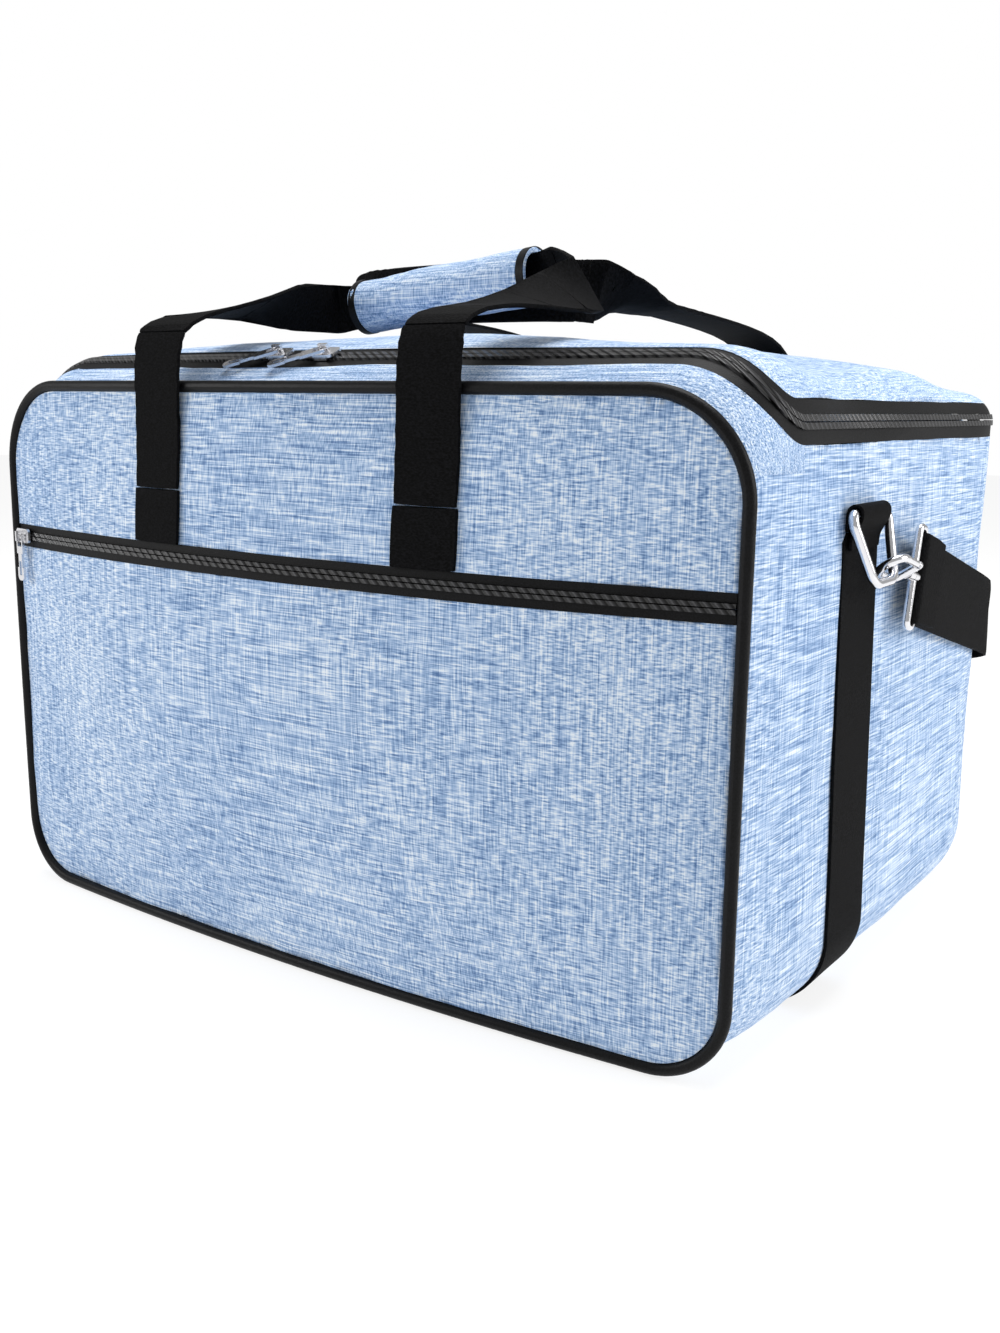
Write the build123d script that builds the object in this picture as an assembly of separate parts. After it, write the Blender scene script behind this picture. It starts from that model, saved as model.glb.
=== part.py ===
from build123d import *
import os
from math import asin, cos, degrees, hypot, radians, sin

os.makedirs("parts", exist_ok=True)

# The frame: X runs along the bag's width, Y from its front to its back, Z up.
# The origin lies on the ground under the middle of the bag.

# Body of the bag
bag_width = 520.0
panel_height = 330.0
front_seam_y = -179.75
back_seam_y = 192.0
bottom_corner_radius = 42.0
wall_thickness = 7.0
lining_thickness = 1.0
lining_gap = 0.3
board_thickness = 2.5
board_margin = 40.0
board_end_margin = 18.0
side_seam_height = 290.0
strip_end_y = -131.0

# Front, which swells over a full pocket, and back
front_bottom_bulge = 10.0
front_middle_bulge = 30.0
front_top_bulge = 15.0
pocket_wall_bulge = 12.0
back_edge_bulge = 2.0
back_middle_bulge = 8.0
front_top_radius = 54.0
back_top_radius = 24.0
back_inset = 13.0
panel_thickness = 2.0
padded_wall_thickness = 5.0
cloth_gap = 0.2
piping_radius = 3.25
piping_clearance = 0.3

# Main zipper, whose line is seen from the side of the bag
zipper_front_y = -166.0
zipper_side_z = 302.5
zipper_turn_radius = 35.0
zipper_band_width = 21.0
tape_thickness = 1.8
chain_width = 7.0
chain_height = 1.2
chain_gap = 0.6
lid_hinge_y = 192.0
lid_hinge_z = 328.5
lid_hinge_gap = 0.4

# Front pocket's zipper
pocket_zipper_z = 232.0
pocket_band_height = 14.0
pocket_chain_width = 5.0

# Handles
webbing_width = 38.0
webbing_thickness = 2.2
handle_half_spacing = 96.0
handle_swing_z = 270.0
front_fold_y = -199.0
front_fold_z = 356.0
front_over_piping_y = -204.0
joint_gap = 0.3
axis_stand_off = 2.2
handle_clearance = 1.8
grip_length = 130.0
grip_radius = 16.0
grip_wall = 2.4
grip_y = -60.0
grip_z = 384.5
grip_tilt = 6.0
gripped_webbing_width = 24.0
binding_length = 5.0
binding_thickness = 0.7
back_base_bottom = 20.0

# Webbing round the sides and the bottom
side_webbing_width = 50.0
side_webbing_thickness = 1.8
side_webbing_y = -55.0
side_webbing_top = 258.0

# Rings that hang in loops at the top of that webbing
ring_wire = 2.6
ring_bar_z = 268.0
ring_bar_half = 27.5
ring_depth = 37.0
ring_tip_half = 15.0
ring_corner_radius = 9.0
ring_lean = 16.0
ring_clearance = 0.4
loop_wall = 1.8
loop_width = 43.0
loop_drop = 9.0

# Swivel hooks between the rings and the shoulder strap
hook_wire = 2.2
hook_length = 36.0
hook_half_width = 10.0
hook_pitch = 14.0
hook_roll = 55.0
hook_axis_x = 273.5
swivel_y = -5.5
swivel_z = 231.0
stem_radius = 3.2
stem_length = 7.0
swivel_clearance = 0.3
gate_foot = 7.0
gate_reach = 16.0
strap_frame_half = 27.5
strap_frame_depth = 9.0

# Shoulder strap
strap_width = 50.0
strap_thickness = 2.0
strap_corner_z = 184.0
strap_back_z = 140.0
strap_stand_off = 2.2
strap_hem = 30.0
strap_corner_radius = 26.0
adjuster_x = -120.0
adjuster_length = 30.0
adjuster_wire = 2.2
adjuster_clearance = 0.4

# Sliders and their pulls
slider_length = 17.0
slider_width = 11.0
slider_plate = 1.5
slider_clearance = 0.9
slider_rail = 1.0
rail_stand_off = 0.5
left_slider_x = -47.0
right_slider_x = -12.0
bridge_length = 6.4
bridge_height = 4.4
bridge_thickness = 2.0
bridge_hole = 3.8
bridge_wall = 1.4
pull_pin_radius = 0.7
pull_length = 35.0
pull_width = 8.0
pull_neck = 4.6
pull_window_width = 5.4
pull_window_length = 8.4
pull_slot_length = 9.0
pull_slot_width = 2.9
pull_thickness = 1.6
pull_heading = 208.0
pull_droop = 4.0
pocket_slider_x = -243.5
pocket_pull_length = 30.0

half_width = bag_width / 2
side_reach = half_width + 6


def save(node, shape):
    """Writes one piece of the bag to its own file"""
    export_step(shape, f"parts/{node}.step")


def mirrored(shape):
    """The same piece on the other side of the bag"""
    return mirror(shape, about=Plane.YZ)


def between(low, high):
    """Box between two corners"""
    size = [h - l for l, h in zip(low, high)]
    middle = [(h + l) / 2 for l, h in zip(low, high)]
    return Pos(*middle) * Box(*size)


# Shape of the bag

def cross_section(y, half, lean, bottom, edge_top, crown, top_radius, inset):
    """Face across the bag at one depth: a rounded box, wider below, with an arched top"""
    top_half = half - lean
    foot_half = half + lean
    outline = [
        Line((-top_half, edge_top), (-foot_half, bottom)),
        Line((-foot_half, bottom), (foot_half, bottom)),
        Line((foot_half, bottom), (top_half, edge_top)),
        ThreePointArc((top_half, edge_top), (0, edge_top + crown), (-top_half, edge_top)),
    ]
    face = make_face(outline).face()
    foot_corners = [v for v in face.vertices() if v.Y < bottom + 1]
    face = face.fillet_2d(bottom_corner_radius, foot_corners)
    top_corners = [v for v in face.vertices() if v.Y > edge_top - 1]
    face = face.fillet_2d(top_radius, top_corners)
    if inset:
        face = offset(face, -inset).face()
    return Plane(origin=(0, y, 0), x_dir=(1, 0, 0), z_dir=(0, -1, 0)) * face


def bag_form(inset):
    """Body of the bag out to its cloth, drawn in by an inset, from front to back"""
    height = panel_height
    sections = [
        cross_section(-215, half_width - 4, 0, 5, height - 18, 0.5, 48, inset),
        cross_section(-180, half_width - 2.5, 0, 2.5, height - 1.5, 0.6, 50, inset),
        cross_section(-150, half_width, 1.5, 0, height + 14.5, 1.5, 48, inset),
        cross_section(-100, half_width + 1.5, 3.5, 0, height + 10.5, 17, 44, inset),
        cross_section(0, half_width + 3, 4, 0, height + 4, 25, 36, inset),
        cross_section(100, half_width + 4, 2.5, 0, height + 2, 25, 28, inset),
        cross_section(165, half_width + 4, 0.5, 0, height - 3, 18, 18, inset),
        cross_section(back_seam_y, half_width - 3, 0, 6, height - 11, 8, 14, inset),
    ]
    return loft(sections)


def bulged_block(face_y, far_y, bulges):
    """Solid from a face bulged outwards, low, middle and high, to a plane behind it"""
    outward = 1 if face_y > far_y else -1
    middle_height = panel_height / 2
    sections = []
    for height, bulge in zip((-15, middle_height, 2 * middle_height + 15), bulges):
        top_y = face_y + outward * bulge
        rim = [
            ThreePointArc((-side_reach, face_y, height), (0, top_y, height), (side_reach, face_y, height)),
            Line((side_reach, face_y, height), (side_reach, far_y, height)),
            Line((side_reach, far_y, height), (-side_reach, far_y, height)),
            Line((-side_reach, far_y, height), (-side_reach, face_y, height)),
        ]
        sections.append(make_face(rim).face())
    return loft(sections)


front_bulges = (front_bottom_bulge, front_middle_bulge, front_top_bulge)
wall_bulges = (front_bottom_bulge, pocket_wall_bulge, front_top_bulge)
back_bulges = (back_edge_bulge, back_middle_bulge, back_edge_bulge)
front_face_y = front_seam_y - piping_radius


def front_block(stand_off, bulges=front_bulges):
    """Everything behind a front that stands this far before the piping's middle plane"""
    return bulged_block(front_face_y - stand_off, back_seam_y + 30, bulges)


def back_block(stand_off):
    """Everything before a back that stands this far behind the back seam"""
    return bulged_block(back_seam_y + stand_off, 100, back_bulges)


def panel_prism(inset, top_radius, low=0.0, high=panel_height):
    """Rounded outline of the front or back panel, drawn in, and cut at two heights"""
    half = half_width - inset
    face = Rectangle(2 * half, panel_height - 2 * inset).face()
    corners = face.vertices().sort_by(Axis.Y)
    face = face.fillet_2d(bottom_corner_radius - inset, corners[:2])
    corners = face.vertices().sort_by(Axis.Y)
    face = face.fillet_2d(top_radius - inset, corners[-2:])
    plane = Plane(origin=(0, -300, panel_height / 2), x_dir=(1, 0, 0), z_dir=(0, -1, 0))
    prism = extrude(plane * face, amount=-600)
    return prism & between((-400, -400, low), (400, 400, high))


def lid_zone(step):
    """Everything above the zipper's outer line, seen from the side, moved in by a step"""
    front = zipper_front_y + step
    low = zipper_side_z + step
    face = Pos((front + 400) / 2, (low + 500) / 2) * Rectangle(400 - front, 500 - low)
    face = face.face()
    corner = [v for v in face.vertices() if abs(v.X - front) < 0.01 and abs(v.Y - low) < 0.01]
    face = face.fillet_2d(zipper_turn_radius - step, corner)
    return extrude(Plane.YZ * face, amount=400, both=True)


outer_form = bag_form(0)
wall_form = bag_form(wall_thickness)
lining_form = bag_form(wall_thickness + lining_gap)
cavity_form = bag_form(wall_thickness + lining_gap + lining_thickness)
above_ground = between((-400, -400, 0), (400, 400, 500))
before_back_seam = between((-400, -400, -10), (400, back_seam_y - lid_hinge_gap, 500))
body_zone = lid_zone(0)

padded_shell = (outer_form - wall_form) & above_ground
webbing_channel = between(
    (-400, side_webbing_y - side_webbing_width / 2 - cloth_gap, -20),
    (400, side_webbing_y + side_webbing_width / 2 + cloth_gap, side_webbing_thickness + cloth_gap),
)
body_shell = (padded_shell & front_block(-piping_radius - piping_clearance)) - body_zone - webbing_channel


def side_panel():
    """Padded side from the bottom corner's arc up to the zipper"""
    inner_x = half_width - bottom_corner_radius
    side = body_shell & between((inner_x, -400, 0), (400, 400, 500))
    return side - between((-400, -400, side_seam_height), (400, strip_end_y, 500))


def bottom_panel():
    """Padded bottom between the two sides"""
    inner_x = half_width - bottom_corner_radius
    return body_shell & between((-inner_x, -400, 0), (inner_x, 400, 100))


def front_top_strip():
    """Strip between the front panel and the zipper, round both top corners"""
    return body_shell & between((-400, -400, side_seam_height), (400, strip_end_y, 500))


def front_sheet(stand_off, thickness, inset, low, high):
    """Sheet that follows the bulged front between two heights"""
    sheet = front_block(stand_off) - front_block(stand_off - thickness)
    return sheet & panel_prism(inset, front_top_radius, low, high)


panel_inset = 2 * piping_radius + cloth_gap
pocket_band_low = pocket_zipper_z - pocket_band_height / 2
pocket_band_high = pocket_zipper_z + pocket_band_height / 2
wall_inset = wall_thickness + 2.5 + 2 * cloth_gap
wall_stand_off = -panel_thickness - cloth_gap


def pocket_wall():
    """Padded wall behind the pocket, which fits inside the padded shell"""
    block = front_block(wall_stand_off, wall_bulges)
    sheet = block - front_block(wall_stand_off - padded_wall_thickness, wall_bulges)
    return sheet & panel_prism(wall_inset, front_top_radius) & lining_form


def front_foam():
    """Foam that fills the space between the upper front panel and the wall"""
    filling = front_block(wall_stand_off) - front_block(wall_stand_off + cloth_gap, wall_bulges)
    low = pocket_band_high + cloth_gap
    return filling & panel_prism(wall_inset, front_top_radius, low, panel_height) & lining_form


def piping(block, prism_inset, top_radius, seam_side):
    """Round cord sewn into a panel's seam, swept round the panel's edge"""
    edged = block & panel_prism(prism_inset + piping_radius, top_radius)
    face = edged.faces().sort_by(Axis.Y)[0 if seam_side == "front" else -1]
    path = face.outer_wire()
    start = path @ 0
    section = Plane(origin=start, z_dir=path % 0) * Circle(piping_radius)
    return sweep(section, path=path)


def zipper_tape(first_step, last_step):
    """Part of the zipper's tape, level with the bag's cloth"""
    band = lid_zone(first_step) - lid_zone(last_step)
    return ((outer_form - bag_form(tape_thickness)) & band) & before_back_seam


def zipper_chain(first_step, last_step):
    """One row of the zipper's coil, proud of the tape on both faces"""
    band = lid_zone(first_step) - lid_zone(last_step)
    return ((bag_form(-chain_height) - bag_form(tape_thickness)) & band) & before_back_seam


def lid_panel():
    """Padded lid inside the zipper's inner line"""
    return (padded_shell & lid_zone(zipper_band_width)) & before_back_seam


def lid_lining():
    """Lining sewn under the lid"""
    sheet = lining_form - cavity_form
    return (sheet & lid_zone(zipper_band_width + wall_thickness)) & before_back_seam


def body_lining():
    """Lining of the compartment: bottom, sides, front and back"""
    wall_back = wall_stand_off - padded_wall_thickness - lining_gap
    outside = lining_form & front_block(wall_back, wall_bulges)
    inside = cavity_form & front_block(wall_back - lining_thickness, wall_bulges)
    low_y = back_seam_y - lining_gap
    outside = outside & between((-400, -400, 0), (400, low_y, 500))
    inside = inside & between((-400, -400, 0), (400, low_y - lining_thickness, 500))
    return (outside - inside) - lid_zone(-lining_gap)


def bottom_board():
    """Stiff board that lies on the lining"""
    low = wall_thickness + 2 * lining_gap + lining_thickness
    front = front_seam_y + board_end_margin
    back = back_seam_y - board_end_margin
    plate = Rectangle(2 * (half_width - board_margin), back - front).face()
    plate = plate.fillet_2d(board_margin / 2, plate.vertices())
    board = Pos(0, (front + back) / 2, low) * extrude(plate, amount=board_thickness)
    return board & bag_form(low)


def back_panel():
    """Padded back inside its piping"""
    sheet = back_block(wall_thickness) - back_block(0)
    return sheet & panel_prism(back_inset, back_top_radius + back_inset)


# Handles

steps_between_stations = 3


def ribbon(stations, thickness):
    """Flat webbing through stations, each a centre, a width direction and a width"""
    centres = [Vector(*centre) for centre, _, _ in stations]
    faces = []
    for index, (_, across, width) in enumerate(stations):
        before = centres[max(index - 1, 0)]
        after = centres[min(index + 1, len(centres) - 1)]
        along = (after - before).normalized()
        side = Vector(across)
        side = (side - along * side.dot(along)).normalized()
        out = along.cross(side)
        centre = centres[index]
        reach = side * (width / 2)
        rise = out * (thickness / 2)
        corners = [centre + reach + rise, centre - reach + rise, centre - reach - rise, centre + reach - rise]
        faces.append(make_face(Polyline(*corners, close=True)).face())
    return loft(faces, ruled=True)


def eased(stations):
    """More stations between those given, so that webbing bends and turns smoothly"""
    centres = [Vector(*centre) for centre, _, _ in stations]
    points = [centres[0]] + centres + [centres[-1]]
    finer = []
    for index in range(len(stations) - 1):
        before, start, end, after = points[index:index + 4]
        _, across, width = stations[index]
        _, next_across, next_width = stations[index + 1]
        for step in range(steps_between_stations):
            t = step / steps_between_stations
            bend = (end - start) * 3 + before - after
            place = start + (end - before) * (t / 2) + bend * (t ** 3 / 2)
            place += (before * 2 - start * 5 + end * 4 - after) * (t ** 2 / 2)
            turned = Vector(*across) * (1 - t) + Vector(*next_across) * t
            finer.append(((place.X, place.Y, place.Z), turned, width * (1 - t) + next_width * t))
    return finer + [stations[-1]]


def front_bulge(height):
    """How far the front swells at its middle at a height"""
    step = (height - panel_height / 2) / (panel_height / 2 + 15)
    rise = (front_top_bulge - front_bottom_bulge) / 2
    fall = front_middle_bulge - (front_top_bulge + front_bottom_bulge) / 2
    return front_middle_bulge + rise * step - fall * step * step


def front_surface_y(x, height):
    """Front of the cloth at a place on the front panel"""
    return front_face_y - front_bulge(height) * (1 - (x / side_reach) ** 2)


handle_surface_gap = cloth_gap + webbing_thickness / 2
across_bag = (1, 0, 0)


def front_handle_bases():
    """Webbing sewn flat on the front, from under the pocket zipper to the handle's fold"""
    sheet = front_block(cloth_gap + webbing_thickness) - front_block(cloth_gap)
    low = pocket_band_high + cloth_gap
    high = handle_swing_z - joint_gap
    inner = handle_half_spacing - webbing_width / 2
    outer = handle_half_spacing + webbing_width / 2
    leg = sheet & between((inner, -400, low), (outer, 0, high))
    return [leg, mirrored(leg)]


def front_leg_y(height):
    """Middle of the webbing where it lies on the front panel"""
    return front_surface_y(handle_half_spacing, height) - handle_surface_gap


def front_slope(height):
    """How much the front panel falls back for each step outwards beside a handle's leg"""
    return 2 * front_bulge(height) * handle_half_spacing / side_reach ** 2


front_axis_y = front_leg_y(handle_swing_z) - webbing_thickness / 2 - axis_stand_off


def front_handle_legs():
    """Free legs of the front handle, from the front panel to where the loop bends back"""
    x = handle_half_spacing
    places = [
        (front_leg_y(handle_swing_z), handle_swing_z),
        (front_leg_y(285) - 0.2, 285),
        (front_leg_y(300) - 0.8, 300),
        (front_leg_y(314) - 2.6, 314),
        (front_over_piping_y, 321),
        (front_over_piping_y, 333),
        (front_over_piping_y + 1.2, 344),
        (front_fold_y - 2.2, front_fold_z - 4),
        (front_fold_y, front_fold_z),
    ]
    stations = [((x, y, z), (1, front_slope(z), 0), webbing_width) for y, z in places[:-2]]
    stations += [((x, y, z), across_bag, webbing_width) for y, z in places[-2:]]
    leg = ribbon(stations, webbing_thickness)
    return [leg, mirrored(leg)]


def grip_point(along, aside=0.0):
    """Point on the grip's middle line, which rises a little to the right"""
    tilt = radians(grip_tilt)
    return (along * cos(tilt), grip_y + aside, grip_z + along * sin(tilt))


fold_step = 0.3


def front_handle_loop():
    """Free loop of the front handle, which turns on edge to enter the grip"""
    x = handle_half_spacing
    y = front_fold_y
    z = front_fold_z
    full = webbing_width
    narrow = gripped_webbing_width
    near_grip = grip_length / 2 + 14
    stations = [
        ((-x, y + fold_step, z + fold_step), across_bag, full),
        ((-x, y + 4, z + 4), across_bag, full),
        ((-x - 2, y + 18, z + 10), across_bag, full),
        ((-x - 2, y + 42, z + 14), (1, 0, 0.1), full),
        ((-x + 2, y + 72, z + 18), (0.95, 0.2, 0.3), full),
        ((-x + 8, y + 98, z + 20), (0.7, 0.5, 0.7), full - 4),
        (grip_point(-near_grip, -8), (0.2, 0.5, 1), full - 8),
        (grip_point(-grip_length / 2 + 2), (0, 0.1, 1), narrow),
        (grip_point(0), (0, 0, 1), narrow),
        (grip_point(grip_length / 2 - 2), (0, -0.1, 1), narrow),
        (grip_point(near_grip + 4, -5), (0, -0.6, 1), full - 8),
        ((x + 16, y + 115, z + 27), (-0.3, -0.6, 0.9), full - 4),
        ((x + 17, y + 90, z + 21), (-0.8, -0.2, 0.5), full),
        ((x + 10, y + 66, z + 16), (-1, 0, 0.2), full),
        ((x + 3, y + 42, z + 12), (-1, 0, 0), full),
        ((x, y + 18, z + 9), (-1, 0, 0), full),
        ((x, y + 4, z + 4), (-1, 0, 0), full),
        ((x, y + fold_step, z + fold_step), (-1, 0, 0), full),
    ]
    return ribbon(stations, webbing_thickness)


def on_grip(shape):
    """Turns a shape made along Z onto the grip's middle line"""
    return Pos(0, grip_y, grip_z) * Rot(0, 90 - grip_tilt, 0) * shape


def grip_wrap():
    """Padded cloth wrapped round the front handle's webbing"""
    tube = Cylinder(grip_radius, grip_length) - Cylinder(grip_radius - grip_wall, grip_length)
    return on_grip(tube)


def grip_bindings():
    """Bound ends of the wrap"""
    outer = grip_radius + binding_thickness
    ring = Cylinder(outer, binding_length) - Cylinder(grip_radius, binding_length)
    shift = grip_length / 2 - binding_length / 2
    return [on_grip(Pos(0, 0, shift) * ring), on_grip(Pos(0, 0, -shift) * ring)]


back_surface_y = back_seam_y + wall_thickness


def back_bulge(height):
    """How far the back swells at its middle at a height"""
    step = (height - panel_height / 2) / (panel_height / 2 + 15)
    return back_middle_bulge - (back_middle_bulge - back_edge_bulge) * step * step


def back_leg_y(height):
    """Middle of the webbing where it lies on the back panel"""
    swell = back_bulge(height) * (1 - (handle_half_spacing / side_reach) ** 2)
    return back_surface_y + swell + handle_surface_gap


back_axis_y = back_leg_y(handle_swing_z) + webbing_thickness / 2 + axis_stand_off


def back_handle_bases():
    """Webbing sewn flat on the back, from near the bottom to the handle's fold"""
    near = wall_thickness + cloth_gap
    sheet = back_block(near + webbing_thickness) - back_block(near)
    inner = handle_half_spacing - webbing_width / 2
    outer = handle_half_spacing + webbing_width / 2
    leg = sheet & between((inner, 0, back_base_bottom), (outer, 400, handle_swing_z - joint_gap))
    return [leg, mirrored(leg)]


back_loop_y = grip_y + grip_radius + webbing_thickness / 2 + handle_clearance


def back_handle_loop():
    """Back handle, which comes over the lid and stands on edge behind the grip"""
    x = handle_half_spacing
    full = webbing_width
    tall = full - 2
    leg = [
        ((x, back_leg_y(handle_swing_z) + 0.5, handle_swing_z), across_bag, full),
        ((x, back_leg_y(290) + 0.8, 290), across_bag, full),
        ((x, back_leg_y(310) + 1.8, 312), across_bag, full),
        ((x, back_leg_y(320) + 2.5, 332), across_bag, full),
        ((x, back_leg_y(320) - 3, 350), across_bag, full),
        ((x, back_seam_y - 12, 362), across_bag, full),
        ((x, back_seam_y - 45, 369), across_bag, full),
        ((x, 100, 373), across_bag, full),
        ((x, 50, 376), across_bag, full),
        ((x - 1, 8, 378), (1, 0, 0.1), full),
        ((x - 3, -20, 381), (0.8, 0.3, 0.5), full),
        ((x - 12, back_loop_y + 4, 384), (0.3, 0.3, 1), tall),
        ((x - 36, back_loop_y + 0.5, 385), (0, 0.1, 1), tall),
    ]
    other = [((-cx, cy, cz), (-ax, ay, az), width) for (cx, cy, cz), (ax, ay, az), width in leg]
    middle = ((0, back_loop_y, 385.5), (0, 0, 1), tall)
    over_lid = eased(leg[-6:] + [middle] + other[:-7:-1])
    return ribbon(leg[:-6] + over_lid + other[-7::-1], webbing_thickness)


# Webbing round the sides and bottom, and its rings

def side_webbing():
    """One strap from the loop on one side, flush under the bag, to the loop on the other"""
    outside = bag_form(-cloth_gap - side_webbing_thickness) & above_ground
    over_webbing = between((-400, -400, side_webbing_thickness), (400, 400, 500))
    inside = bag_form(-cloth_gap) & over_webbing
    strip = between(
        (-400, side_webbing_y - side_webbing_width / 2, 0),
        (400, side_webbing_y + side_webbing_width / 2, side_webbing_top),
    )
    return (outside - inside) & strip


def side_surface_x():
    """Outermost place of the bag's side where the ring's loop is sewn on"""
    low = (0, side_webbing_y - loop_width / 2, side_webbing_top - loop_drop - 1)
    high = (400, side_webbing_y + loop_width / 2, side_webbing_top + 1)
    return (outer_form & between(low, high)).bounding_box().max.X


webbing_outer_x = side_surface_x() + cloth_gap + side_webbing_thickness
ring_bore = ring_wire + ring_clearance
ring_bar_x = side_surface_x() + cloth_gap + loop_wall + ring_bore
along_bag = (0, 1, 0)


def ring_loop():
    """End of the side webbing, folded over the ring's bar and sewn down"""
    bend = ring_bore + loop_wall / 2
    back_x = ring_bar_x - bend
    flap_x = webbing_outer_x + cloth_gap + loop_wall / 2
    places = [(back_x, side_webbing_top + joint_gap), (back_x, ring_bar_z - 3)]
    for angle in range(180, -1, -30):
        turn = radians(angle)
        places.append((ring_bar_x + bend * cos(turn), ring_bar_z + bend * sin(turn)))
    places.append((ring_bar_x + bend - 0.4, ring_bar_z - 4))
    places.append((flap_x + 0.8, side_webbing_top - 1))
    places.append((flap_x + 0.2, side_webbing_top - loop_drop / 2))
    places.append((flap_x + 0.2, side_webbing_top - loop_drop))
    stations = [((x, side_webbing_y, z), along_bag, loop_width) for x, z in places]
    return ribbon(stations, loop_wall)


def wire_ring(plane, corners, radii, wire):
    """Closed loop of round wire through rounded corners in a plane"""
    face = make_face(Polyline(*corners, close=True)).face()
    for corner, radius in zip(corners, radii):
        vertex = [v for v in face.vertices() if hypot(v.X - corner[0], v.Y - corner[1]) < 0.01]
        face = face.fillet_2d(radius, vertex)
    path = (plane * face).outer_wire()
    section = Plane(origin=path @ 0, z_dir=path % 0) * Circle(wire)
    return sweep(section, path=path)


ring_turn = radians(ring_lean)
ring_plane = Plane(
    origin=(ring_bar_x, side_webbing_y, ring_bar_z),
    x_dir=(0, 1, 0),
    z_dir=(cos(ring_turn), 0, sin(ring_turn)),
)


def ring():
    """Metal ring with a straight bar in its loop and a narrower tip"""
    corners = [
        (-ring_bar_half, 0),
        (ring_bar_half, 0),
        (ring_tip_half, -ring_depth),
        (-ring_tip_half, -ring_depth),
    ]
    bar_corner = ring_bar_half - loop_width / 2 - ring_clearance
    radii = [bar_corner, bar_corner, ring_corner_radius, ring_corner_radius]
    return wire_ring(ring_plane, corners, radii, ring_wire)


# Swivel hook, laid out along its own axis from the swivel towards the ring

pitch = radians(hook_pitch)
roll = radians(hook_roll)
hook_along = Vector(0, -cos(pitch), sin(pitch))
hook_up = Vector(0, sin(pitch), cos(pitch))
hook_out = Vector(1, 0, 0)
hook_across = hook_up * cos(roll) + hook_out * sin(roll)
swivel = Vector(hook_axis_x, swivel_y, swivel_z)
hook_plane = Plane(origin=swivel, x_dir=hook_along, z_dir=hook_along.cross(hook_across))
frame_plane = Plane(origin=swivel, x_dir=hook_along, z_dir=hook_along.cross(hook_up))
hook_end = stem_length + hook_length
gate_pivot = stem_length + gate_foot
gate_tip = gate_pivot + gate_reach


def hook():
    """Claw of round wire on a stem that turns in the strap's frame"""
    start = stem_length + hook_wire
    far = hook_end - hook_wire
    side = hook_half_width - hook_wire
    path = FilletPolyline(
        (start, side),
        (start, -side),
        (far, -side),
        (far, side),
        (gate_tip, side),
        radius=[side * 0.6, side - 0.02, side - 0.02],
    )
    path = (hook_plane * path).wire()
    section = Plane(origin=path @ 0, z_dir=path % 0) * Circle(hook_wire)
    claw = sweep(section, path=path)
    foot = hook_plane * Pos(start + gate_foot / 2 - hook_wire, side, 0) * Rot(0, 90, 0)
    claw += foot * Cylinder(hook_wire, gate_foot - 2 * hook_wire - 0.6)
    claw += hook_plane * Pos(stem_length / 2 + 0.5, 0, 0) * Rot(0, 90, 0) * Cylinder(stem_radius, stem_length + 1)
    spigot = stem_radius / 2
    claw += hook_plane * Pos(-spigot, 0, 0) * Rot(0, 90, 0) * Cylinder(spigot, 2 * spigot)
    return claw


def gate():
    """Sprung gate that closes the hook's mouth"""
    side = hook_half_width - hook_wire
    thin = hook_wire - 0.3
    length = gate_reach - swivel_clearance
    rod = Pos(gate_pivot + length / 2, side, 0) * Rot(0, 90, 0) * Cylinder(thin, length)
    return hook_plane * (rod + Pos(gate_pivot, side, 0) * Sphere(thin))


def strap_frame():
    """Frame for the shoulder strap, with the barrel that the hook turns in"""
    near = -swivel_clearance - stem_radius
    far = near - strap_frame_depth
    corners = [
        (near, -strap_frame_half),
        (near, strap_frame_half),
        (far, strap_frame_half),
        (far, -strap_frame_half),
    ]
    frame = wire_ring(frame_plane, corners, [3.2] * 4, hook_wire)
    barrel_length = 2 * stem_radius
    barrel = Pos(-swivel_clearance - barrel_length / 2, 0, 0) * Rot(0, 90, 0)
    frame += frame_plane * barrel * Cylinder(stem_radius, barrel_length)
    bore_depth = stem_radius + 2 * swivel_clearance
    bore = Pos(-bore_depth / 2, 0, 0) * Rot(0, 90, 0) * Cylinder(stem_radius / 2 + 0.05, bore_depth)
    return frame - frame_plane * bore


# Shoulder strap

strap_bar = swivel - hook_along * (swivel_clearance + stem_radius + strap_frame_depth)
strap_bend = hook_wire + cloth_gap + strap_thickness / 2
back_run_y = back_surface_y + back_middle_bulge + webbing_thickness + strap_stand_off
upright = (0, 0, 1)


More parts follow.
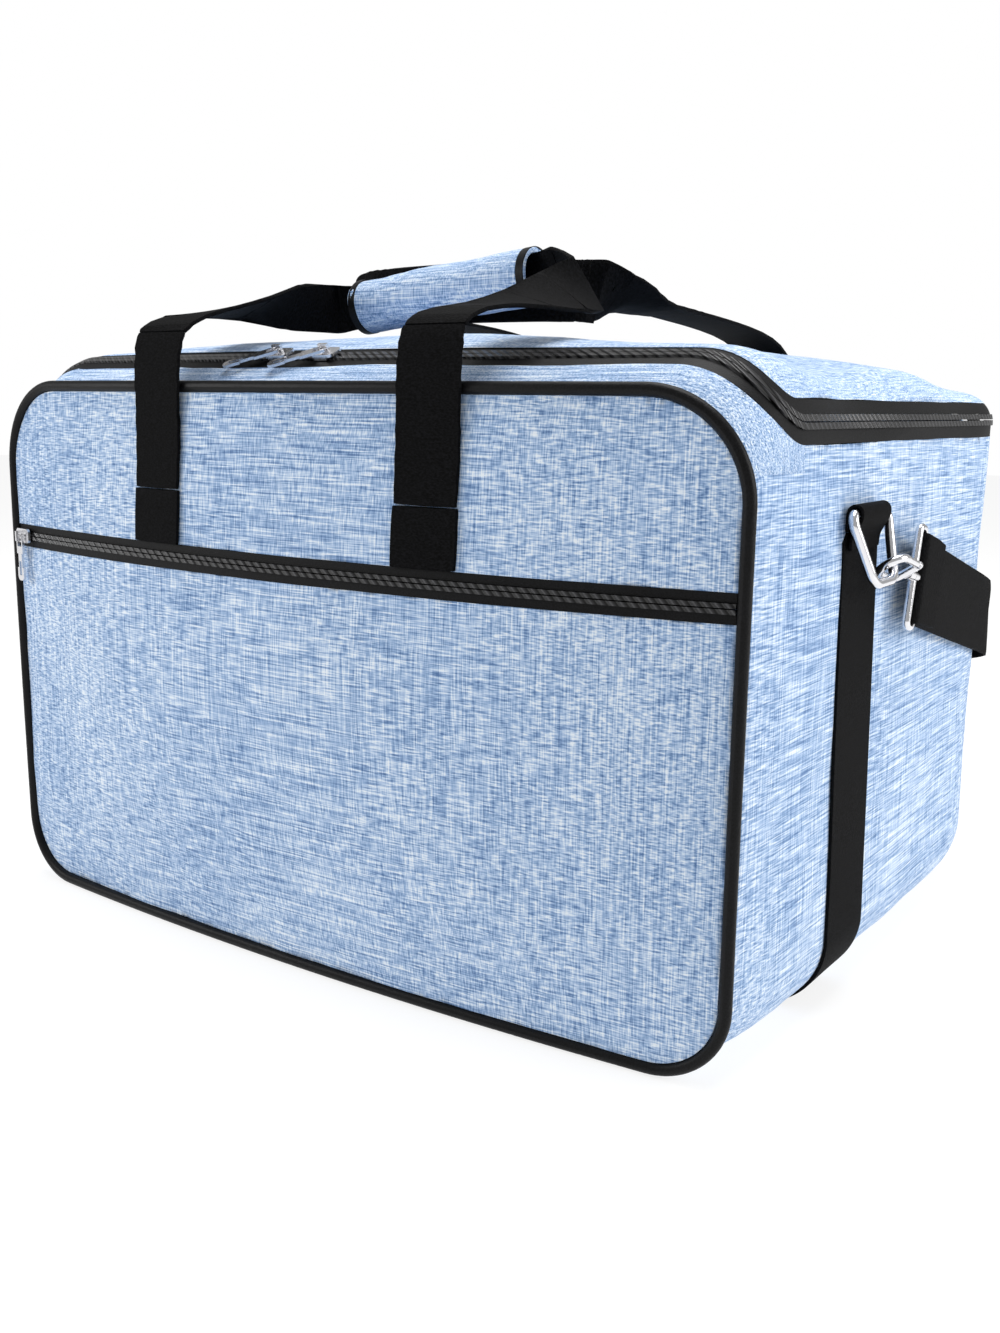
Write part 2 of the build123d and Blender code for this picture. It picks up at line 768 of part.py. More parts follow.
def strap_half():
    """Right half of the strap, from its sewn end round the frame's bar to the bag's back"""
    side_x = outer_form.bounding_box().max.X + strap_stand_off / 2

    def at_bar(out, back):
        place = strap_bar + hook_out * out - hook_along * back
        return ((place.X, place.Y, place.Z), (hook_up.X, hook_up.Y, hook_up.Z), strap_width)

    stations = [at_bar(strap_bend + 0.2, strap_hem), at_bar(strap_bend, strap_hem / 3)]
    for angle in range(90, -91, -20):
        turn = radians(angle)
        stations.append(at_bar(strap_bend * sin(turn), -strap_bend * cos(turn)))
    stations.append(at_bar(-strap_bend, strap_hem / 3))
    stations.append(at_bar(-strap_bend - 0.2, strap_hem))
    run_start = strap_bar - hook_along * strap_hem
    inner = strap_bar.X - strap_bend
    corner_y = back_run_y - strap_corner_radius
    for share in (0.35, 0.7, 1.0):
        x = inner + (side_x - inner) * min(1.0, share * 1.4)
        y = run_start.Y + (corner_y - run_start.Y) * share
        z = run_start.Z + (strap_corner_z - run_start.Z) * share
        stations.append(((x, y, z), upright, strap_width))
    for angle in (22.5, 45, 67.5, 90):
        turn = radians(angle)
        x = side_x - strap_corner_radius * (1 - cos(turn))
        y = corner_y + strap_corner_radius * sin(turn)
        stations.append(((x, y, strap_corner_z - 3 * angle / 22.5), upright, strap_width))
    for x, rise in ((205, strap_corner_z - strap_back_z - 20), (165, 12), (125, 4), (80, 0)):
        stations.append(((x, back_run_y, strap_back_z + rise), upright, strap_width))
    return stations


def shoulder_strap():
    """Long webbing strap that hugs the bag's back corners and hangs behind it"""
    right = strap_half()
    left = [((-x, y, z), (-ax, ay, az), width) for (x, y, z), (ax, ay, az), width in right]
    return ribbon(right + left[::-1], strap_thickness)


def adjuster():
    """Slide that sets the strap's length: two bars outside the strap and one inside"""
    wire = adjuster_wire
    out = strap_thickness / 2 + wire + adjuster_clearance
    reach = strap_width / 2 + wire + 2 * adjuster_clearance
    plane = Plane(origin=(adjuster_x, back_run_y + out, strap_back_z + 3.5), x_dir=(1, 0, 0), z_dir=(0, 1, 0))
    half = adjuster_length / 2
    corners = [(-half, -reach), (half, -reach), (half, reach), (-half, reach)]
    frame = wire_ring(plane, corners, [4.0] * 4, wire)
    bar = Cylinder(wire, 2 * reach)
    frame += Pos(adjuster_x, back_run_y - out, strap_back_z + 3.5) * bar
    for side in (-1, 1):
        post = Rot(90, 0, 0) * Cylinder(wire, 2 * out)
        frame += Pos(adjuster_x, back_run_y, strap_back_z + 3.5 + side * reach) * post
    return frame


# Sliders and pulls, laid out on a zipper with the chain along X and the cloth's outside up

def slider(width, bridge_turn):
    """Top of a slider: a plate that straddles the chain, with a bridge for its pull"""
    base = chain_height + slider_clearance
    blank = Rectangle(slider_length, width).face()
    blank = blank.fillet_2d(width * 0.3, blank.vertices())
    body = Pos(0, 0, base) * extrude(blank, amount=slider_plate)
    rail_height = base + slider_plate / 2 - rail_stand_off
    for side in (-1, 1):
        rail = Box(slider_length / 2, slider_rail, rail_height)
        body += Pos(0, side * (width - slider_rail) / 2, rail_stand_off + rail_height / 2) * rail
    hole_height = bridge_height - bridge_wall
    arch = Box(bridge_length, bridge_thickness, bridge_height)
    arch -= Pos(0, 0, (hole_height - bridge_height) / 2) * Box(bridge_hole, bridge_thickness, hole_height)
    body += Pos(0, 0, base + slider_plate + bridge_height / 2) * Rot(0, 0, bridge_turn) * arch
    return body


pin_height = chain_height + slider_clearance + slider_plate + bridge_height / 3


def pull(length):
    """Flat pull with a pin through the bridge and a slot near its end, laid along X"""
    blank = (Pos(length / 2 - 1, 0) * Rectangle(length, pull_width)).face()
    end_corners = blank.vertices().sort_by(Axis.X)[-2:]
    blank = blank.fillet_2d(pull_width * 0.4, end_corners)
    cutter = 2 * pull_thickness
    plate = extrude(blank, amount=pull_thickness / 2, both=True)
    plate -= Pos(pull_window_length / 2 - 1.6, 0, 0) * Box(pull_window_length, pull_window_width, cutter)
    plate -= Pos(length - pull_slot_length, 0, 0) * Box(pull_slot_length, pull_slot_width, cutter)
    waist = Box(pull_slot_length, pull_width, cutter) - Box(pull_slot_length, pull_neck, cutter)
    plate -= Pos(length / 2 + 1, 0, 0) * waist
    plate += Rot(90, 0, 0) * Cylinder(pull_pin_radius, pull_window_width + 1)
    return plate


def form_top_z(y):
    """Top of the bag over its middle at a depth"""
    low = (-1, y - 0.5, 200)
    high = (1, y + 0.5, 500)
    return (outer_form & between(low, high)).bounding_box().max.Z


chain_y = zipper_front_y + zipper_band_width / 2
chain_z = form_top_z(chain_y - 0.5)
chain_rise = form_top_z(chain_y + 4.5) - form_top_z(chain_y - 5.5)
chain_normal = Vector(0, -chain_rise, 10).normalized()


def main_zipper_plane(x):
    """Plane on the main zipper's straight front run, facing out of the bag"""
    return Plane(origin=(x, chain_y, chain_z), x_dir=(1, 0, 0), z_dir=chain_normal)


def laid_pull(plane, length, heading, droop):
    """A pull hung in its slider's bridge, lying in a heading"""
    place = Pos(0, 0, pin_height) * Rot(0, 0, heading) * Rot(0, droop, 0)
    return plane * place * pull(length)


pocket_chain_sag = front_bulge(pocket_zipper_z)
pocket_arc_radius = (side_reach ** 2 + pocket_chain_sag ** 2) / (2 * pocket_chain_sag)
pocket_arc_y = front_face_y - pocket_chain_sag + pocket_arc_radius
pocket_slider_angle = degrees(asin(pocket_slider_x / pocket_arc_radius))
pocket_middle = Plane(
    origin=(0, pocket_arc_y - pocket_arc_radius, pocket_zipper_z),
    x_dir=(1, 0, 0),
    z_dir=(0, -1, 0),
)


def on_pocket_arc(shape):
    """Turns a shape from the middle of the pocket zipper to its slider's place"""
    centre = Axis((0, pocket_arc_y, 0), (0, 0, 1))
    return shape.rotate(centre, pocket_slider_angle)


def pocket_zipper_part(low, high):
    """Part of the pocket zipper between two heights, level with the front's cloth"""
    return front_sheet(0, tape_thickness, panel_inset, low, high)


def pocket_coil():
    """Both rows of the pocket zipper's coil, proud of its tapes"""
    low = pocket_zipper_z - pocket_chain_width / 2
    high = pocket_zipper_z + pocket_chain_width / 2
    sheet = front_sheet(chain_height, chain_height + tape_thickness, panel_inset, low, high)
    gap = chain_gap / 2
    return sheet - between((-400, -400, pocket_zipper_z - gap), (400, 0, pocket_zipper_z + gap))


chain_middle = zipper_band_width / 2
chain_low = chain_middle - chain_width / 2
chain_high = chain_middle + chain_width / 2
pocket_chain_low = pocket_zipper_z - pocket_chain_width / 2
pocket_chain_high = pocket_zipper_z + pocket_chain_width / 2

right_side = side_panel()
save("right_side_panel", right_side)
save("left_side_panel", mirrored(right_side))
save("bottom_panel", bottom_panel())
save("front_top_strip", front_top_strip())
save("front_piping", piping(front_block(0), 0, front_top_radius, "front"))
save("pocket_wall", pocket_wall())
save("front_foam", front_foam())
upper_low = pocket_band_high + cloth_gap
save("front_upper_panel", front_sheet(0, panel_thickness, panel_inset, upper_low, panel_height))
lower_high = pocket_band_low - cloth_gap
save("pocket_panel", front_sheet(0, panel_thickness, panel_inset, 0, lower_high))
save("pocket_upper_tape", pocket_zipper_part(pocket_chain_high + cloth_gap, pocket_band_high))
save("pocket_lower_tape", pocket_zipper_part(pocket_band_low, pocket_chain_low - cloth_gap))
save("pocket_coil", pocket_coil())
save("back_panel", back_panel())
back_piping_inset = back_inset - 2 * piping_radius - cloth_gap
back_cord = piping(back_block(piping_radius), back_piping_inset, back_top_radius + back_piping_inset, "back")
save("back_piping", back_cord)
save("body_lining", body_lining())
save("bottom_board", bottom_board())

save("body_zipper_tape", zipper_tape(0, chain_low - cloth_gap / 2))
save("body_zipper_coil", zipper_chain(chain_low, chain_middle - chain_gap / 2))
save("lid_zipper_coil", zipper_chain(chain_middle + chain_gap / 2, chain_high))
save("lid_zipper_tape", zipper_tape(chain_high + cloth_gap / 2, zipper_band_width - cloth_gap))
save("lid_panel", lid_panel())
save("lid_lining", lid_lining())

for name, x in (("left", left_slider_x), ("right", right_slider_x)):
    plane = main_zipper_plane(x)
    save(f"{name}_slider", plane * slider(slider_width, 0))
    save(f"{name}_pull", laid_pull(plane, pull_length, pull_heading, pull_droop))

save("pocket_slider", on_pocket_arc(pocket_middle * slider(slider_width - 2, 90)))
save("pocket_pull", on_pocket_arc(laid_pull(pocket_middle, pocket_pull_length, 270, 0)))

save("front_handle_bases", Compound(front_handle_bases()))
save("front_handle_legs", Compound(front_handle_legs()))
save("front_handle_loop", front_handle_loop())
save("grip_wrap", grip_wrap())
save("grip_bindings", Compound(grip_bindings()))
save("back_handle_bases", Compound(back_handle_bases()))
save("back_handle_loop", back_handle_loop())

save("side_webbing", side_webbing())
for name, turn in (("right", lambda shape: shape), ("left", mirrored)):
    save(f"{name}_ring_loop", turn(ring_loop()))
    save(f"{name}_ring", turn(ring()))
    save(f"{name}_hook", turn(hook()))
    save(f"{name}_hook_gate", turn(gate()))
    save(f"{name}_strap_frame", turn(strap_frame()))

save("shoulder_strap", shoulder_strap())
save("strap_adjuster", adjuster())
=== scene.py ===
import math

import bmesh
import bpy
from mathutils import Matrix, Vector


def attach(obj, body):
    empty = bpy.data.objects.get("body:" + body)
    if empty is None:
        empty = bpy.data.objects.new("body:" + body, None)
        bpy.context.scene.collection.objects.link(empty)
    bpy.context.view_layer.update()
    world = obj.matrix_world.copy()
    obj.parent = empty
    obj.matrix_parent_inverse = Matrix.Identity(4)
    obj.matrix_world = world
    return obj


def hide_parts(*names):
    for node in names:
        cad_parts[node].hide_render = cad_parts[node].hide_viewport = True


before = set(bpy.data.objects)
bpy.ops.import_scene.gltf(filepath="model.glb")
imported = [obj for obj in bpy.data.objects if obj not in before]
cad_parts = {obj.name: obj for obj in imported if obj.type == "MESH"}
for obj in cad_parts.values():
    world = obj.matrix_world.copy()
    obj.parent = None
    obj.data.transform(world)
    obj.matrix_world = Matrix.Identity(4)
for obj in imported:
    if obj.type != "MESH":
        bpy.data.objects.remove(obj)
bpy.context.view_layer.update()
scene = bpy.context.scene


# Blue canvas of the panels and the grip wrap. It is a heathered polyester weave: pale and
# dark slub yarns run both ways through a mid-blue ground. Each side of the bag has its own
# grain, because the yarns follow the cut of its panel.

def new_material(name):
    """A material, its nodes, its links and its surface shader"""
    material = bpy.data.materials.new(name)
    material.use_nodes = True
    nodes = material.node_tree.nodes
    return material, nodes, material.node_tree.links, nodes["Principled BSDF"]


def noise_along(nodes, links, cells, detail):
    """Noise with a number of cells in a metre along each axis of the piece"""
    place = nodes.new("ShaderNodeTexCoord")
    mapping = nodes.new("ShaderNodeMapping")
    mapping.inputs["Scale"].default_value = cells
    noise = nodes.new("ShaderNodeTexNoise")
    noise.inputs["Scale"].default_value = 1.0
    noise.inputs["Detail"].default_value = detail
    links.new(place.outputs["Object"], mapping.inputs["Vector"])
    links.new(mapping.outputs["Vector"], noise.inputs["Vector"])
    return noise.outputs["Fac"]


def ramp(nodes, links, value, stops):
    """Colours laid along a value"""
    node = nodes.new("ShaderNodeValToRGB")
    band = node.color_ramp
    band.elements[0].position, band.elements[0].color = stops[0]
    band.elements[1].position, band.elements[1].color = stops[-1]
    for position, colour in stops[1:-1]:
        band.elements.new(position).color = colour
    links.new(value, node.inputs["Fac"])
    return node.outputs["Color"]


def combine(nodes, links, first, second, operation):
    """Arithmetic on two values"""
    node = nodes.new("ShaderNodeMath")
    node.operation = operation
    links.new(first, node.inputs[0])
    if isinstance(second, float):
        node.inputs[1].default_value = second
    else:
        links.new(second, node.inputs[1])
    return node.outputs[0]


def bump(nodes, links, shader, height, distance, strength):
    """Raises a shader's surface by a value"""
    node = nodes.new("ShaderNodeBump")
    node.inputs["Distance"].default_value = distance
    node.inputs["Strength"].default_value = strength
    links.new(height, node.inputs["Height"])
    links.new(node.outputs["Normal"], shader.inputs["Normal"])


def heather(name, weft, warp):
    """Blue slub cloth whose yarns lie along two axes"""
    material, nodes, links, shader = new_material(name)
    along_slub = 20.0
    across_slub = 1150.0
    along_thread = 120.0
    across_thread = 2000.0
    patch = 9.0
    weft_share = 0.60
    warp_share = 0.40
    thread_share = 0.16
    patch_share = 0.10

    def yarns(axis, along, across, detail):
        cells = [across] * 3
        cells[axis] = along
        return noise_along(nodes, links, cells, detail)

    weft_slubs = yarns(weft, along_slub, across_slub, detail=1.5)
    warp_slubs = yarns(warp, along_slub, across_slub, detail=1.5)
    weft_threads = yarns(weft, along_thread, across_thread, detail=0.0)
    warp_threads = yarns(warp, along_thread, across_thread, detail=0.0)
    weft_tone = combine(nodes, links, weft_slubs, weft_share, "MULTIPLY")
    warp_tone = combine(nodes, links, warp_slubs, warp_share, "MULTIPLY")
    slub_tone = combine(nodes, links, weft_tone, warp_tone, "ADD")
    threads = combine(nodes, links, weft_threads, warp_threads, "ADD")
    thread_tone = combine(nodes, links, threads, thread_share, "MULTIPLY")
    weave = combine(nodes, links, slub_tone, thread_tone, "ADD")
    patches = noise_along(nodes, links, (patch, patch, patch), 2.0)
    patch_tone = combine(nodes, links, patches, patch_share, "MULTIPLY")
    tone = combine(nodes, links, weave, patch_tone, "ADD")
    colour = ramp(nodes, links, tone, [
        (0.53, (0.10, 0.19, 0.38, 1)),
        (0.61, (0.21, 0.33, 0.55, 1)),
        (0.69, (0.34, 0.48, 0.71, 1)),
        (0.78, (0.57, 0.69, 0.86, 1)),
        (0.86, (0.82, 0.88, 0.95, 1)),
    ])
    links.new(colour, shader.inputs["Base Color"])
    shader.inputs["Roughness"].default_value = 0.82
    shader.inputs["Sheen Weight"].default_value = 0.06
    shader.inputs["Specular IOR Level"].default_value = 0.12
    bump(nodes, links, shader, tone, distance=0.0006, strength=0.55)
    return material


front_heather = heather("heather_front", weft=0, warp=2)
side_heather = heather("heather_side", weft=1, warp=2)
top_heather = heather("heather_top", weft=0, warp=1)


# Padded cloth panels of the body and lid. Each is canvas over foam, sewn to the piping and
# the zipper, with long shallow swells and a few small puckers. The bottom is held flat by
# the board that lies in it.

def soft_copy(node, name):
    """A mesh object with the node's shape, its seams between triangles merged"""
    weld_distance = 0.00002
    mesh = bmesh.new()
    mesh.from_mesh(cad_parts[node].data)
    bmesh.ops.remove_doubles(mesh, verts=mesh.verts, dist=weld_distance)
    data = bpy.data.meshes.new(name)
    mesh.to_mesh(data)
    mesh.free()
    copy = bpy.data.objects.new(name, data)
    scene.collection.objects.link(copy)
    return copy


def cut_evenly(piece, spacing):
    """Cuts a piece's faces along planes a step apart, so that it can bend everywhere"""
    on_plane = 0.000001
    mesh = bmesh.new()
    mesh.from_mesh(piece.data)
    for axis in range(3):
        places = [v.co[axis] for v in mesh.verts]
        low = min(places)
        steps = int((max(places) - low) / spacing)
        normal = Vector([float(axis == i) for i in range(3)])
        for step in range(1, steps + 1):
            geometry = mesh.verts[:] + mesh.edges[:] + mesh.faces[:]
            plane = normal * (low + step * spacing)
            bmesh.ops.bisect_plane(
                mesh, geom=geometry, dist=on_plane, plane_co=plane, plane_no=normal
            )
    mesh.to_mesh(piece.data)
    mesh.free()


def smooth(piece):
    """Shades a piece smooth, but keeps its turned edges sharp"""
    turned_edge = math.radians(40)
    for face in piece.data.polygons:
        face.use_smooth = True
    piece.data.set_sharp_from_angle(angle=turned_edge)


def fold_texture(name, size, depth):
    """Soft cloud pattern that lifts and lowers cloth"""
    texture = bpy.data.textures.new(name, "CLOUDS")
    texture.noise_scale = size
    texture.noise_depth = depth
    return texture


def fold(piece, texture, height, direction="NORMAL"):
    """Lifts and lowers a piece's cloth by a texture"""
    modifier = piece.modifiers.new("folds", "DISPLACE")
    modifier.texture = texture
    modifier.texture_coords = "LOCAL"
    modifier.strength = height
    modifier.mid_level = 0.5
    modifier.direction = direction


def dress(piece, node, body, material):
    """Puts a finished piece in place of its node and gives it its material"""
    smooth(piece)
    piece.data.materials.clear()
    piece.data.materials.append(material)
    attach(piece, body)
    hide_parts(node)


long_folds = fold_texture("long_folds", size=0.11, depth=1)
small_folds = fold_texture("small_folds", size=0.035, depth=2)
swell_height = 0.0035
pucker_height = 0.0010
lid_spacing = 0.008

for node, body, material, spacing in (
    ("right_side_panel", "bag", side_heather, 0.008),
    ("left_side_panel", "bag", side_heather, 0.008),
    ("front_top_strip", "bag", front_heather, 0.006),
    ("lid_panel", "lid", top_heather, lid_spacing),
    ("bottom_panel", "bag", top_heather, 0.012),
    ("back_panel", "bag", front_heather, 0.010),
):
    panel = soft_copy(node, node + "_cloth")
    cut_evenly(panel, spacing)
    if node != "bottom_panel":
        fold(panel, long_folds, swell_height)
        fold(panel, small_folds, pucker_height)
    dress(panel, node, body, material)


# Upper front panel and pocket panel. One layer of canvas each, held all round by the
# piping and the pocket zipper, so they swell in the middle and ripple near the zipper.

front_spacing = 0.006
front_swell_height = 0.0045
front_pucker_height = 0.0012

for node in ("front_upper_panel", "pocket_panel"):
    panel = soft_copy(node, node + "_cloth")
    cut_evenly(panel, front_spacing)
    fold(panel, long_folds, front_swell_height, "Y")
    fold(panel, small_folds, front_pucker_height, "Y")
    dress(panel, node, "bag", front_heather)


# Linings. Thin black cloth sewn inside the body and under the lid. The lid's lining lies
# against the underside of the padding, takes its folds and is sewn in along its edge.

def trim_material(name, roughness, gloss):
    """Black cloth with a fine even weave"""
    material, nodes, links, shader = new_material(name)
    thread = 1300.0
    weave = noise_along(nodes, links, (thread, thread, thread), 1.0)
    colour = ramp(nodes, links, weave, [
        (0.3, (0.001, 0.001, 0.001, 1)),
        (0.7, (0.006, 0.006, 0.007, 1)),
    ])
    links.new(colour, shader.inputs["Base Color"])
    shader.inputs["Roughness"].default_value = roughness
    shader.inputs["Specular IOR Level"].default_value = gloss
    bump(nodes, links, shader, weave, distance=0.0003, strength=0.4)
    return material


def is_lined(face):
    """True on the underside of the lid's padding and on its front edge"""
    looks_down = face.normal.z <= -0.05
    looks_forward = face.normal.y <= -0.97
    return looks_down or looks_forward


lining_material = trim_material("lining", roughness=0.75, gloss=0.1)
lining_thickness = 0.0010

body_lining = soft_copy("body_lining", "body_lining_cloth")
dress(body_lining, "body_lining", "bag", lining_material)

lid_lining = soft_copy("lid_panel", "lid_lining_cloth")
cut_evenly(lid_lining, lid_spacing)
underside = bmesh.new()
underside.from_mesh(lid_lining.data)
outside = [face for face in underside.faces if not is_lined(face)]
bmesh.ops.delete(underside, geom=outside, context="FACES")
underside.to_mesh(lid_lining.data)
underside.free()
fold(lid_lining, long_folds, swell_height)
fold(lid_lining, small_folds, pucker_height)
layer = lid_lining.modifiers.new("layer", "SOLIDIFY")
layer.thickness = lining_thickness
layer.offset = 1.0
dress(lid_lining, "lid_lining", "lid", lining_material)


# Handles, bases, side webbing and strap. Black nylon webbing with a fine twill, slightly
# shiny on its ribs, which is sewn flat at its ends and bends smoothly between its seams.

def webbing_material(name, ribs):
    """Black ribbed weave whose ribs cross one axis"""
    material, nodes, links, shader = new_material(name)
    thread = 650.0
    rib = 1500.0
    cells = [thread] * 3
    cells[ribs] = rib
    weave = noise_along(nodes, links, cells, 1.0)
    colour = ramp(nodes, links, weave, [
        (0.35, (0.001, 0.001, 0.001, 1)),
        (0.68, (0.006, 0.006, 0.007, 1)),
    ])
    links.new(colour, shader.inputs["Base Color"])
    shader.inputs["Roughness"].default_value = 0.75
    shader.inputs["Specular IOR Level"].default_value = 0.06
    bump(nodes, links, shader, weave, distance=0.0005, strength=0.6)
    return material


def soft_webbing(node, body, material):
    """Puts a copy in place of a webbing node, its bends rounded and its edges kept"""
    speck = 0.00001
    cut_edge = math.radians(50)
    edge_hold = 0.9
    rounding_levels = 1
    piece = soft_copy(node, node + "_weave")
    mesh = bmesh.new()
    mesh.from_mesh(piece.data)
    bmesh.ops.dissolve_degenerate(mesh, edges=mesh.edges, dist=speck)
    bmesh.ops.join_triangles(
        mesh, faces=mesh.faces, angle_face_threshold=0.6, angle_shape_threshold=1.2
    )
    crease = mesh.edges.layers.float.new("crease_edge")
    for edge in mesh.edges:
        if len(edge.link_faces) == 2 and edge.calc_face_angle() > cut_edge:
            edge[crease] = edge_hold
    mesh.to_mesh(piece.data)
    mesh.free()
    rounding = piece.modifiers.new("rounding", "SUBSURF")
    rounding.levels = rounding_levels
    rounding.render_levels = rounding_levels
    dress(piece, node, body, material)


upright_webbing = webbing_material("webbing_upright", ribs=2)
level_webbing = webbing_material("webbing_level", ribs=1)

for node, body, material in (
    ("front_handle_bases", "bag", upright_webbing),
    ("front_handle_legs", "front_legs", upright_webbing),
    ("front_handle_loop", "front_loop", level_webbing),
    ("back_handle_bases", "bag", upright_webbing),
    ("back_handle_loop", "back_handle", level_webbing),
    ("side_webbing", "bag", upright_webbing),
    ("left_ring_loop", "bag", upright_webbing),
    ("right_ring_loop", "bag", upright_webbing),
    ("shoulder_strap", "bag", level_webbing),
):
    soft_webbing(node, body, material)


# Grip wrap. Canvas padded with foam, wrapped round the middle of the front handle and sewn
# along it, with a dark binding on each end.

wrap_spacing = 0.003
wrap_pucker_height = 0.0035

wrap = soft_copy("grip_wrap", "grip_wrap_cloth")
cut_evenly(wrap, wrap_spacing)
fold(wrap, small_folds, wrap_pucker_height)
dress(wrap, "grip_wrap", "front_loop", front_heather)


# Piping, bindings, zipper tapes and hidden padding. The piping is cord under a satin cover
# and the tape a dense flat weave. The pocket's wall, foam and board are as black as the
# lining. All keep the shape that they are sewn in.

def finish_nodes(nodes, material):
    """Gives a material to nodes that keep their own shape"""
    for node in nodes:
        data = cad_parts[node].data
        data.materials.clear()
        data.materials.append(material)


piping_material = trim_material("piping", roughness=0.45, gloss=0.16)
tape_material = trim_material("zipper_tape", roughness=0.5, gloss=0.14)
finish_nodes(("front_piping", "back_piping", "grip_bindings"), piping_material)
finish_nodes(("pocket_upper_tape", "pocket_lower_tape"), tape_material)
finish_nodes(("body_zipper_tape", "lid_zipper_tape"), tape_material)
finish_nodes(("pocket_wall", "front_foam", "bottom_board"), lining_material)


# Zipper coils. Black nylon monofilament wound in spirals, pressed side by side and woven
# along the edge of each tape.

def coil_material():
    """Glossy black ridges slanted across the chain, on runs along X and along Y"""
    material, nodes, links, shader = new_material("zipper_coil")
    place = nodes.new("ShaderNodeTexCoord")
    wave = nodes.new("ShaderNodeTexWave")
    wave.bands_direction = "DIAGONAL"
    wave.inputs["Scale"].default_value = 105.0
    links.new(place.outputs["Object"], wave.inputs["Vector"])
    colour = ramp(nodes, links, wave.outputs["Fac"], [
        (0.2, (0.002, 0.002, 0.002, 1)),
        (0.9, (0.035, 0.035, 0.038, 1)),
    ])
    links.new(colour, shader.inputs["Base Color"])
    shader.inputs["Roughness"].default_value = 0.28
    bump(nodes, links, shader, wave.outputs["Fac"], distance=0.0012, strength=1.0)
    return material


finish_nodes(("pocket_coil", "body_zipper_coil", "lid_zipper_coil"), coil_material())


# Metal fittings. Rings, hooks and frames are bent from bright plated wire, and the sliders
# and pulls are cast and plated. All have faint marks of handling in their polish.

def metal_material(name, tint, roughness):
    """Bright metal with slight wear in its polish"""
    material, nodes, links, shader = new_material(name)
    mark = 400.0
    worn_roughness = roughness * 1.9
    shader.inputs["Base Color"].default_value = tint
    shader.inputs["Metallic"].default_value = 1.0
    marks = noise_along(nodes, links, (mark, mark, mark), 3.0)
    polish = ramp(nodes, links, marks, [
        (0.3, (roughness, roughness, roughness, 1)),
        (0.8, (worn_roughness, worn_roughness, worn_roughness, 1)),
    ])
    links.new(polish, shader.inputs["Roughness"])
    bump(nodes, links, shader, marks, distance=0.0002, strength=0.15)
    return material


bright_metal = metal_material("bright_metal", tint=(0.78, 0.78, 0.80, 1), roughness=0.12)
slider_metal = metal_material("slider_metal", tint=(0.74, 0.74, 0.76, 1), roughness=0.16)
finish_nodes(("left_ring", "left_hook", "left_hook_gate", "left_strap_frame"), bright_metal)
finish_nodes(("right_ring", "right_hook", "right_hook_gate", "right_strap_frame"), bright_metal)
finish_nodes(("strap_adjuster",), bright_metal)
finish_nodes(("left_slider", "right_slider", "pocket_slider"), slider_metal)
finish_nodes(("left_pull", "right_pull", "pocket_pull"), slider_metal)


# Camera. It has the photo's view: a 35.5 mm lens, from the front right, a little above the
# lid and turned slightly about its own axis.

eye = (0.490896, -0.716497, 0.320006)
yaw = math.radians(-34.4)
pitch = math.radians(-11.35)
roll = math.radians(0.71)
forward = Vector((
    math.sin(yaw) * math.cos(pitch),
    math.cos(yaw) * math.cos(pitch),
    math.sin(pitch),
))
level = forward.cross(Vector((0, 0, 1))).normalized()
raised = level.cross(forward)
right = math.cos(roll) * level + math.sin(roll) * raised
above = math.cos(roll) * raised - math.sin(roll) * level
lens = bpy.data.cameras.new("camera")
lens.lens = 35.5
lens.sensor_width = 36.0
lens.clip_start = 0.01
camera = bpy.data.objects.new("camera", lens)
scene.collection.objects.link(camera)
turn = Matrix((right, above, -forward)).transposed()
camera.matrix_world = Matrix.Translation(eye) @ turn.to_4x4()
scene.camera = camera


# Pale floor of a studio. It is a single flat sheet that glows, so that it stays white
# under the bag and takes only a faint shadow.

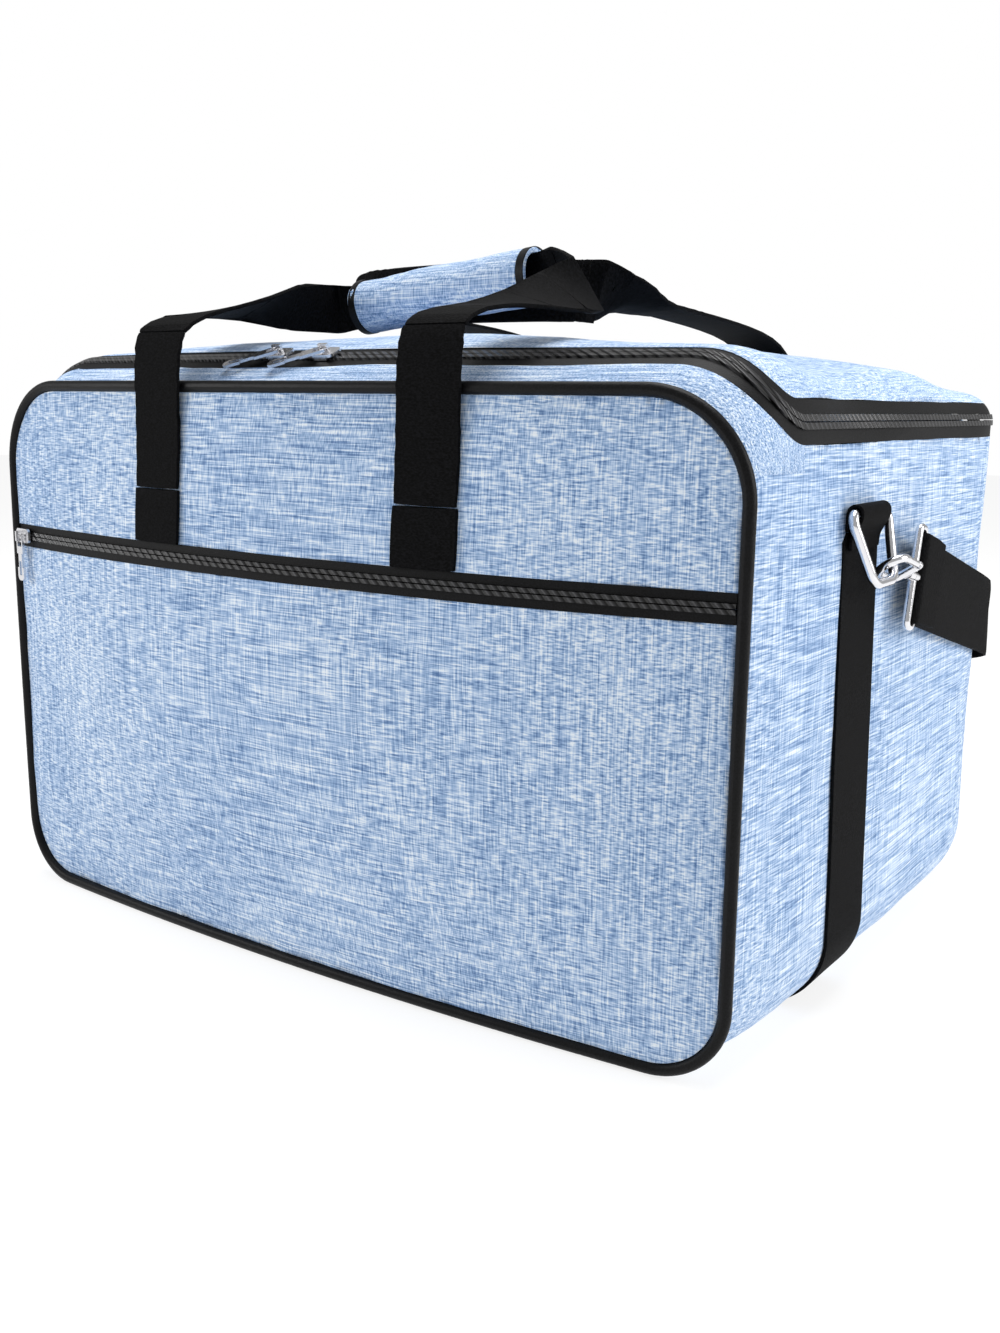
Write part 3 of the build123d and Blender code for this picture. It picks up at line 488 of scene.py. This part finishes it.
floor_half_width = 6.0
floor_mesh = bmesh.new()
bmesh.ops.create_grid(floor_mesh, x_segments=1, y_segments=1, size=floor_half_width)
floor_data = bpy.data.meshes.new("floor")
floor_mesh.to_mesh(floor_data)
floor_mesh.free()
floor = bpy.data.objects.new("floor", floor_data)
scene.collection.objects.link(floor)
floor_material, _, _, floor_shader = new_material("floor")
floor_shader.inputs["Base Color"].default_value = (0.25, 0.25, 0.25, 1)
floor_shader.inputs["Emission Color"].default_value = (1.0, 1.0, 1.0, 1)
floor_shader.inputs["Emission Strength"].default_value = 0.8
floor_shader.inputs["Roughness"].default_value = 0.9
floor_data.materials.append(floor_material)


# Soft studio light. The room is white where the camera sees it and dimmer where it lights
# the bag, and three square lamps stand at the front left, at the right and overhead.

room_light = 0.42
seen_light = 1.0

world = bpy.data.worlds.new("room")
world.use_nodes = True
room_nodes, room_links = world.node_tree.nodes, world.node_tree.links
seen = room_nodes.new("ShaderNodeLightPath")
level_light = room_nodes.new("ShaderNodeMapRange")
level_light.inputs["To Min"].default_value = room_light
level_light.inputs["To Max"].default_value = seen_light
room_links.new(seen.outputs["Is Camera Ray"], level_light.inputs["Value"])
room_links.new(level_light.outputs["Result"], room_nodes["Background"].inputs["Strength"])
room_nodes["Background"].inputs["Color"].default_value = (1.0, 1.0, 1.0, 1)
scene.world = world


def area_light(name, place, target, size, power):
    """Square soft light aimed at a point"""
    light = bpy.data.lights.new(name, "AREA")
    light.size = size
    light.energy = power
    lamp = bpy.data.objects.new(name, light)
    scene.collection.objects.link(lamp)
    aim = (Vector(target) - Vector(place)).to_track_quat("-Z", "Y")
    lamp.matrix_world = Matrix.Translation(place) @ aim.to_matrix().to_4x4()


area_light("key", place=(-1.05, -1.0, 0.7), target=(-0.15, -0.2, 0.15), size=0.5, power=6.5)
area_light("side", place=(1.55, 0.45, 0.75), target=(0.25, 0.05, 0.15), size=0.9, power=13.5)
area_light("overhead", place=(0.0, 0.25, 2.2), target=(0.0, 0.0, 0.0), size=1.6, power=40)

scene.view_settings.view_transform = "Standard"
